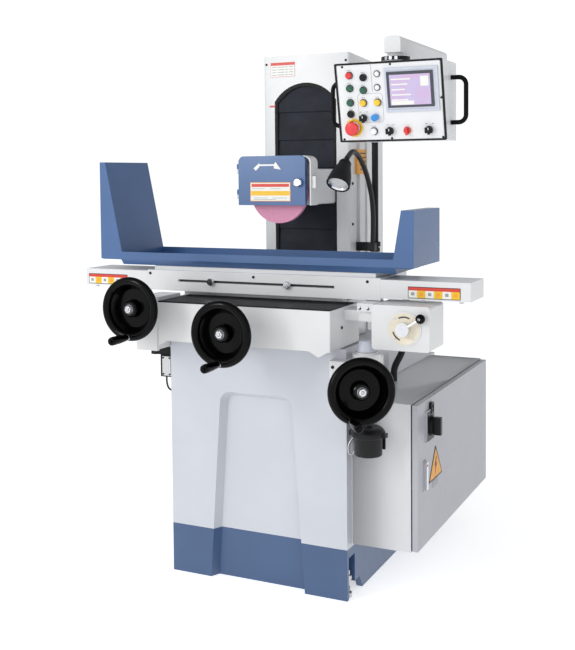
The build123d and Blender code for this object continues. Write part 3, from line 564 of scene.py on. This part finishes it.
# ---------------------------------------------------------------- column
COLUMN_FRONT, COLUMN_SIDE = -38, 158   # y of its front, x of its right side
notice = front(-91, COLUMN_FRONT, 1670)
box("column_notice", -47, 47, -25, 25, notice, 0, 0.6, M["label_red"], "root", r=2)
box("column_notice_field", -46, 46, -24, 15, notice, 0.4, 0.9, M["label_white"], "root", r=1)
for row in range(4):
    for k, (u0, u1) in enumerate(((-40, -24), (-20, 6), (10, 20), (24, 40))):
        box(f"column_notice_line_{row}_{k}", u0, u1, 8 - row * 9, 10 - row * 9, notice, 0.8, 1.1,
            M["label_grey"], "root")
box("column_mark", -11, 11, -3, 3, front(-132, COLUMN_FRONT, 1543), 0, 0.7, M["label_red"], "root")
screws("column_screws", [front(x, COLUMN_FRONT, 1690) for x in (-154, 147)], 0.004, M["black"], "root")
box("column_side_notice", 16, 104, -43, 43, side(COLUMN_SIDE, 0, 1345), 0, 8.6, M["label_orange"], "root")
for row in range(5):
    box(f"column_side_line_{row}", 44, 98, 28 - row * 14, 32 - row * 14, side(166.2, 0, 1345), 0, 0.9,
        M["ink"], "root")
screws("column_side_screws", [side(COLUMN_SIDE, -10, z) for z in (1270, 1130)], 0.005, M["black"], "root")

# painted shade: a black strip round the inside of the throat, standing in for the shadow on the throat's inner walls
left, right, spring, _ = THROAT
SHADE_WIDTH, FOOT = 9, 766   # width of the strip, height of its lower end
inner = [(right - SHADE_WIDTH, FOOT), (right - SHADE_WIDTH, spring - 4)]
outer = [(right, FOOT), (right, spring)]
for k in range(1, 12):
    x = right + (left - right) * k / 12
    outer.append((x, arch_height(x)))
    inner.append((x + (left + right - 2 * x) * 0.05, arch_height(x) - SHADE_WIDTH))
outer += [(left, spring), (left, FOOT)]
inner += [(left + SHADE_WIDTH, spring - 4), (left + SHADE_WIDTH, FOOT)]
prism("throat_painted_shade", scaled(outer + inner[::-1]), front(0, -36, 0), -0.003, 0.0, M["matte_black"], "root")

# ---------------------------------------------------------------- table and saddle
APRON_Y = -382   # front face of the table and its end covers
screws("apron_screws", [front(x, APRON_Y, 975) for x in (-428, -37, 353)], 0.0045, M["black"], "table")
# painted shade: a near-black strip at the bottom of the table's slot stands in for the shadow inside the groove
box("dog_slot_painted_shade", -317, 242, -3.6, 3.6, front(0, -369, 954), 0, 0.8, M["ink"], "table")
for name, x0, x1, z0, z1 in (("left", -681, -521, 931, 966), ("right", 482, 643, 931, 966)):
    place = front((x0 + x1) / 2, APRON_Y, (z0 + z1) / 2)
    w, h = (x1 - x0) / 2, (z1 - z0) / 2
    box(f"end_notice_{name}", -w, w, -h, h, place, 0, 0.6, M["ink"], "table", r=2)
    box(f"end_notice_{name}_head", 2 - w, w - 2, h * 0.35, h - 2, place, 0.4, 0.9, M["label_red"], "table")
    cell = (2 * w - 4) / 6
    for k in range(6):
        field, sign, proud = (("label_white", "label_grey", 1.2), ("label_yellow", "label_orange", 1.28))[k % 2]
        u0 = 2 - w + k * cell
        box(f"end_notice_{name}_cell_{k}", u0, u0 + cell, 2 - h, h * 0.35, place, 0.4, 0.9 + 0.02 * k,
            M[field], "table")
        box(f"end_notice_{name}_sign_{k}", u0 + cell * 0.3, u0 + cell * 0.7, -h * 0.5, h * 0.05, place, 0.8,
            proud, M[sign], "table", r=1.5)
screws("saddle_screws", [side(296, -452, 841), side(296, -330, 860)], 0.005, M["black"], "saddle")
screws("feed_tab_screws", [front(x, -450, 902) for x in (354, 380)], 0.0042, M["black"], "saddle")

# feed dial: a cream disc with two curved bands, and the ball on the end of the lever
DIAL = front(497, -463, 850)
turned("feed_disc", [(0, 0.2), (46, 0.2), (47, 1.0), (47, -0.2)], DIAL, M["cream"], "saddle", 96)
for k, (a0, a1) in enumerate(((62, 118), (196, 250))):
    angles = range(a0, a1 + 1, 4)
    band = [polar(37, a) for a in angles] + [polar(33, a) for a in angles[::-1]]
    prism(f"feed_arrow_{k}", scaled(band), DIAL, 0.0008, 0.0014, M["ink"], "saddle")
screws("feed_disc_screws",
       [front(497 + 41 * c, -463.6, 850 + 41 * s) for c, s in ((-0.7, 0.7), (0.7, -0.7), (-0.7, -0.7))],
       0.003, M["chrome"], "saddle")
turned("feed_lever_ball",
       [(0, -14.3), (6, -13), (10.5, -9.8), (13.4, -5), (14.3, 0), (13.4, 5), (10.5, 9.8), (6, 13), (0, 14.3)],
       front(551, -478.3, 884), M["bakelite"], "feed_lever")


# ---------------------------------------------------------------- handwheels
def hub(name, place, body, pin_u, pin_v):
    """The dark ring, washer, nut and stud on a handwheel, and the crank's pivot at (pin_u, pin_v)."""
    turned(f"{name}_ring", [(13, 0.0), (13, 1.6), (20, 1.6), (21, 0.8), (21, -1)], place, M["matte_black"], body, 64)
    turned(f"{name}_washer", [(0, 1.2), (14.5, 1.2), (15, 2.4), (13.5, 3)], place, M["steel"], body, 64)
    nut = [polar(11.5, 60 * k + 12) for k in range(6)]
    prism(f"{name}_nut", scaled(nut), place, 0.002, 0.009, M["chrome"], body, 0.0008)
    turned(f"{name}_stud", [(0, 12), (4, 12), (5.5, 10.8), (5.5, 5)], place, M["steel"], body, 32)
    pivot = place @ Matrix.Translation(at(pin_u, pin_v, 14.5))
    turned(f"{name}_pivot", [(0, 4.5), (5, 4.5), (8.6, 3), (9.2, 0), (9.2, -6)], pivot, M["chrome"], body, 40)


hub("x_hub", front(-334, -648, 890), "x_wheel", 0, -86)
hub("y_hub", front(0, -671, 835), "y_wheel", 0, -86)
YAW = math.radians(35)   # the elevating wheel's turn to the right
z_normal = Vector((math.sin(YAW), -math.cos(YAW), 0))
z_right = Vector((math.cos(YAW), math.sin(YAW), 0))
z_hub_place = facing(Vector(at(416.5, -590.6, 681)) - z_normal * 8 * MM, z_normal, z_right)
hub("z_hub", z_hub_place, "z_wheel", -32.9, -79.45)

# ---------------------------------------------------------------- elevating drive and filler
cone = facing(at(367, -428, 770), (0, 0, 1))
turned("elevating_dial", [(30.4, 0), (30.4, 2), (23, 31), (21, 33), (0, 33.4)], cone, M["bezel"], "root", 64)
turned("elevating_ring", [(34, -1), (34.6, 0), (34.6, 1), (31, 1.6)], cone, M["steel"], "root", 64)
screws("gearbox_screws", [front(x, -490, z) for x, z in ((282, 727), (282, 616), (371, 616))], 0.005,
       M["black"], "root")
lid = facing(at(386, -468, 552), (0, 0, 1))
turned("filler_knurl", [(0, 6), (12, 6), (15, 3), (16, -1)], lid, M["black"], "filler_lid")
turned("filler_band", [(50.3, -13), (51, -15), (51, -22), (50.3, -24)], lid, M["matte_black"], "filler_lid", 72)
chain = [at(343, -468, 520), at(330, -478, 505), at(326, -484, 480), at(334, -480, 462), at(344, -470, 474),
         at(346, -466, 492)]
tube("filler_chain", chain, 0.0022, M["steel"], "root")

# limit switch: an aluminium face with its cover screws
box("switch_face", -16, 16, -32, 32, front(-332, -440, 676), 0, 2.0, M["steel"], "root", 0.6, 2)
screws("switch_screws", [front(-332 + a, -442, 676 + b) for a in (-12, 12) for b in (-27, 27)], 0.003,
       M["black"], "root")

# ---------------------------------------------------------------- cabinet door
CAB = "cabinet_door"
CAB_X = 520                  # its outer face
SWITCH_Y, SWITCH_Z = -298, 531
box("switch_plate", -33, 33, -44, 46, side(526, SWITCH_Y, SWITCH_Z), -5, 1.0, M["black"], CAB, 0.3, 3)
turned("switch_collar", [(28, 0), (28, 1.6), (31, 1.6), (32, 0.6), (32, 0)], side(527, SWITCH_Y, SWITCH_Z),
       M["matte_black"], CAB, 64)
ring_line("switch_hasp", rectangle(26, 34, 5, 14, 52), rectangle(14, 22, 3, 14, 52),
          side(CAB_X, SWITCH_Y, SWITCH_Z), 0, 9, M["black"], CAB)
sign = side(CAB_X, -230, 399)
bolt = [(4, 30), (-12, -6), (0, -4), (-7, -36), (13, 4), (2, 2), (11, 30)]
prism("current_sign", scaled([(-71, -51), (71, -51), (4, 51), (-4, 51)]), sign, 0, 0.0008, M["ink"], CAB)
prism("current_sign_field", scaled([(-62, -46), (62, -46), (0, 43)]), sign, 0.0006, 0.0012,
      M["label_orange"], CAB)
prism("current_sign_bolt", scaled([(a * 0.8, b * 0.8 - 6) for a, b in bolt]), sign, 0.001, 0.0017, M["ink"], CAB)
box("cabinet_notice", -30, 30, -10, 10, side(CAB_X, -235, 335), 0, 0.8, M["label_grey"], CAB, r=1)
turned("latch_mark", [(0, 0.9), (3.4, 0.9), (4, 0.2)], side(530.3, -343, 418), M["red"], "door_latch", 24)

# ---------------------------------------------------------------- pendant
LEAN = math.radians(12)        # how far the face looks down
FACE_W, FACE_H = 327, 232      # its width and height
FACE_NORMAL = Vector((0, -math.cos(LEAN), -math.sin(LEAN)))
FACE = facing(at(450, -450, 1512.5), FACE_NORMAL) @ Matrix.Translation(at(-FACE_W / 2, FACE_H / 2, 0))


def on_face(u, v, w=0.0):
    """A frame on the pendant's face, u to the right and v down from its top left corner."""
    return FACE @ Matrix.Translation(at(u, -v, w))


edge_out = rectangle(FACE_W + 2, FACE_H + 2, 4, FACE_W / 2, -FACE_H / 2)
edge_in = rectangle(FACE_W - 9, FACE_H - 9, 4, FACE_W / 2, -FACE_H / 2)
ring_line("pendant_edge", edge_out, edge_in, FACE, -5, 1.2, M["matte_black"], "pendant")
screws("pendant_screws",
       [on_face(u, v) for u, v in ((24, 9), (173, 8), (320, 110), (13, 224), (163, 224), (318, 224))],
       0.0032, M["black"], "pendant")
for k, (u, v) in enumerate(((131, 33.7), (129, 73.3))):
    turned(f"lamp_ring_{k}", [(7.4, 0), (7.4, 3.5), (9, 3.5), (10, 2), (10, 0)], on_face(u, v),
           M["frame_grey"], "pendant")
    turned(f"lamp_lens_{k}", [(7.6, 0), (7.6, 4), (5, 5.6), (0, 6.4)], on_face(u, v), M["clear"], "pendant")
BUTTONS = {"red_button": (44.7, 34.7), "green_button_1": (43.2, 72.6), "green_button_2": (41.5, 115),
           "black_button_1": (40.5, 148.7), "black_button_2": (88, 42.5), "green_button_3": (85.4, 79.6),
           "yellow_button_1": (82.6, 117), "yellow_button_2": (127, 117), "white_button": (109.6, 201.6)}
for node, (u, v) in BUTTONS.items():
    turned(f"{node}_bezel", [(9.9, 0), (9.9, 3.2), (10.9, 3.2), (11.6, 2), (11.6, 0)], on_face(u, v),
           M["frame_grey"], "pendant")
    box(f"{node}_legend", -6, -1, 14.5, 15.6, on_face(u, v), 0, 0.3, M["ink"], "pendant")
    box(f"{node}_sign", 2.4, 4.4, 13.5, 16.6, on_face(u, v), 0, 0.3, M["label_grey"], "pendant")
SELECTORS = {"mode_selector": (80.6, 161.7), "feed_selector": (160, 201.8), "range_selector": (279, 201.6)}
for node, (u, v) in SELECTORS.items():
    box(f"{node}_block", -11.5, 11.5, -8.5, 8.5, on_face(u, v, 7.7), 0, 6, M["black"], node, 0.8, 2)
    box(f"{node}_pointer", -1, 1, 1, 8, on_face(u, v, 13.8), -0.2, 2.2, M["label_white"], node)
    box(f"{node}_legend", -12, -7, 17, 18.2, on_face(u, v), 0, 0.3, M["ink"], "pendant")
    box(f"{node}_sign", 8, 13, 17, 18.2, on_face(u, v), 0, 0.3, M["ink"], "pendant")
box("panel_rule", -0.6, 0.6, -85, -6, on_face(113, 0), 0, 0.3, M["label_grey"], "pendant")
frame_out = rectangle(78, 86, 10, 104, -132.5)
frame_in = rectangle(76, 84, 9, 104, -132.5)
ring_line("panel_frame", frame_out, frame_in, FACE, 0, 0.3, M["label_grey"], "pendant")
turned("estop_plate", [(19, 0), (19, 1.6), (27, 1.6), (27.5, 0.8), (27.5, 0)], on_face(47, 190), M["yellow"],
       "pendant", 72)

# screen: dark frame, lit panel and the lines of a generic menu
lit, tree, bsdf = shader("lit_screen", (0.50, 0.38, 0.56), 0.25,
                         Emission_Color=(0.62, 0.45, 0.62, 1), Emission_Strength=0.12)
tree.links.new(ramp(tree, noise(tree, 26, 2), [(0.3, (0.52, 0.36, 0.55)), (0.7, (0.46, 0.42, 0.62))]),
               bsdf.inputs["Base Color"])
box("screen_frame", 160.5, 300, -134, -30, FACE, 3.0, 5.6, M["frame_grey"], "pendant", 0.8, 2)
box("screen_panel", 169, 291, -127, -39, FACE, 5.0, 5.9, lit, "pendant")
for row in range(5):
    box(f"screen_line_{row}", 174, 232 - 9 * (row % 3), -54 - 15 * row, -50 - 15 * row, FACE, 5.7, 6.2,
        M["label_white"], "pendant")
box("screen_tile", 262, 286, -74, -46, FACE, 5.7, 6.3, M["label_white"], "pendant")
box("screen_row", 172, 240, -126, -115, FACE, 5.7, 6.2, M["label_white"], "pendant")

# collar between the arm and the pendant
collar = facing(at(450, -395, 1633), (0, 0, 1))
turned("arm_collar", [(42.4, 1), (42.8, 2), (42.8, 12), (42.4, 13)], collar, M["black"], "pendant_arm", 96)
for k, a in enumerate((-112, -92, -70)):
    around = Matrix.Rotation(math.radians(a), 4, "Z")
    place = collar @ around @ Matrix.Translation(at(42.4, 0, 7)) @ Matrix.Rotation(math.radians(90), 4, "Y")
    box(f"arm_collar_clamp_{k}", -5, 5, -4.5, 4.5, place, 0, 1.4, M["chrome"], "pendant_arm", 0.5, 1)

# ---------------------------------------------------------------- work lamp
lamp_axis = Vector((-0.037, -0.616, -0.787)).normalized()
lamp_side = Vector((1, 0, 0)) - lamp_axis * lamp_axis.x
lamp_place = facing(at(220, -222, 1345), lamp_axis, lamp_side.normalized())
turned("lamp_reflector",
       [(16, 51), (22, 60), (29, 71), (33.6, 82), (33.8, 95), (32.4, 95), (32, 83), (27, 72), (20, 61), (14, 52.5),
        (0, 52.5), (0, 51)], lamp_place, M["chrome"], "lamp_head", 64)
turned("lamp_glass", [(0, 90), (20, 89.6), (32.2, 88.5), (32.2, 87), (0, 88)], lamp_place, M["clear"],
       "lamp_head", 64)
turned("lamp_rim", [(38, 94), (39, 95), (38, 97), (34.5, 97)], lamp_place, M["matte_black"], "lamp_head", 72)
turned("lamp_neck", [(13, 2), (15.8, 6), (20.6, 9), (20.6, 13)], lamp_place, M["black"], "lamp_head", 48)


# ---------------------------------------------------------------- floor, light and camera
SKY = ((0.0, 0.78), (0.35, 0.62), (1.0, 0.28))   # strength from the horizon up to the zenith
SUN = 0.95                       # strength of the broad front light
SUN_ANGLE = 95                   # its width in degrees
SUN_AIM = (0.05, 0.95, -0.4)
STRIP_PLACE, STRIP_AIM = (-1.5, -3.2, 2.1), (0, -0.3, 0.9)
STRIP_SIZE, STRIP_POWER = (0.5, 1.6), 26
FLOOR_GLOW = 0.56
FLOOR_SIZE = 14
CAMERA_PLACE = (1.4344, -3.2249, 1.3019)
CAMERA_TURN = (("Z", 25.306), ("X", 86.988), ("Z", -0.487))   # degrees: to the left, up from straight down, roll
LENS, SHIFT_X, SHIFT_Y = 55.455, -0.0021, -0.15


def toward(direction):
    """The turn that points a light along a direction."""
    return Vector(direction).to_track_quat("-Z", "Y").to_euler()


def stage():
    """A pale flat floor against white, soft studio light and the camera."""
    scene = bpy.context.scene
    scene.view_settings.view_transform = "Standard"
    scene.view_settings.look = "None"
    world = bpy.data.worlds.new("studio")
    world.use_nodes = True
    scene.world = world
    tree = world.node_tree
    seen = tree.nodes["Background"]
    seen.inputs["Color"].default_value = (1, 1, 1, 1)
    seen.inputs["Strength"].default_value = 1.05
    soft = tree.nodes.new("ShaderNodeBackground")
    soft.inputs["Color"].default_value = (0.96, 0.975, 1, 1)
    coords = tree.nodes.new("ShaderNodeTexCoord")
    height = tree.nodes.new("ShaderNodeSeparateXYZ")
    tree.links.new(coords.outputs["Generated"], height.inputs["Vector"])
    tree.links.new(ramp(tree, height.outputs["Z"], [(z, (k, k, k)) for z, k in SKY]), soft.inputs["Strength"])
    path = tree.nodes.new("ShaderNodeLightPath")
    mix = tree.nodes.new("ShaderNodeMixShader")
    tree.links.new(path.outputs["Is Camera Ray"], mix.inputs["Fac"])
    tree.links.new(soft.outputs["Background"], mix.inputs[1])
    tree.links.new(seen.outputs["Background"], mix.inputs[2])
    tree.links.new(mix.outputs["Shader"], tree.nodes["World Output"].inputs["Surface"])

    bm = bmesh.new()
    bmesh.ops.create_grid(bm, x_segments=8, y_segments=8, size=FLOOR_SIZE)
    mesh = to_mesh(bm, "floor")
    floor = bpy.data.objects.new("floor", mesh)
    scene.collection.objects.link(floor)
    mat, tree, bsdf = shader("floor", (0.93, 0.93, 0.93), 0.6, Specular_IOR_Level=0.1,
                            Emission_Color=(1, 1, 1, 1), Emission_Strength=FLOOR_GLOW)
    tree.links.new(ramp(tree, noise(tree, 2, 2), [(0.3, (0.925, 0.925, 0.925)), (0.7, (0.935, 0.935, 0.935))]),
                   bsdf.inputs["Base Color"])
    mesh.materials.append(mat)

    sun = bpy.data.lights.new("sky_panel", "SUN")
    sun.energy = SUN
    sun.angle = math.radians(SUN_ANGLE)
    sun_lamp = bpy.data.objects.new("sky_panel", sun)
    sun_lamp.rotation_euler = toward(SUN_AIM)
    scene.collection.objects.link(sun_lamp)

    strip = bpy.data.lights.new("strip", "AREA")
    strip.shape = "RECTANGLE"
    strip.size, strip.size_y = STRIP_SIZE
    strip.energy = STRIP_POWER
    strip_lamp = bpy.data.objects.new("strip", strip)
    strip_lamp.location = STRIP_PLACE
    strip_lamp.rotation_euler = toward(Vector(STRIP_AIM) - Vector(STRIP_PLACE))
    scene.collection.objects.link(strip_lamp)

    lens_camera = bpy.data.cameras.new("camera")
    lens_camera.sensor_width = 36
    lens_camera.lens = LENS
    lens_camera.shift_x = SHIFT_X
    lens_camera.shift_y = SHIFT_Y
    lens_camera.clip_end = 60
    camera = bpy.data.objects.new("camera", lens_camera)
    placed = Matrix.Translation(CAMERA_PLACE)
    for axis, degrees in CAMERA_TURN:
        placed = placed @ Matrix.Rotation(math.radians(degrees), 4, axis)
    camera.matrix_world = placed
    scene.collection.objects.link(camera)
    scene.camera = camera


stage()
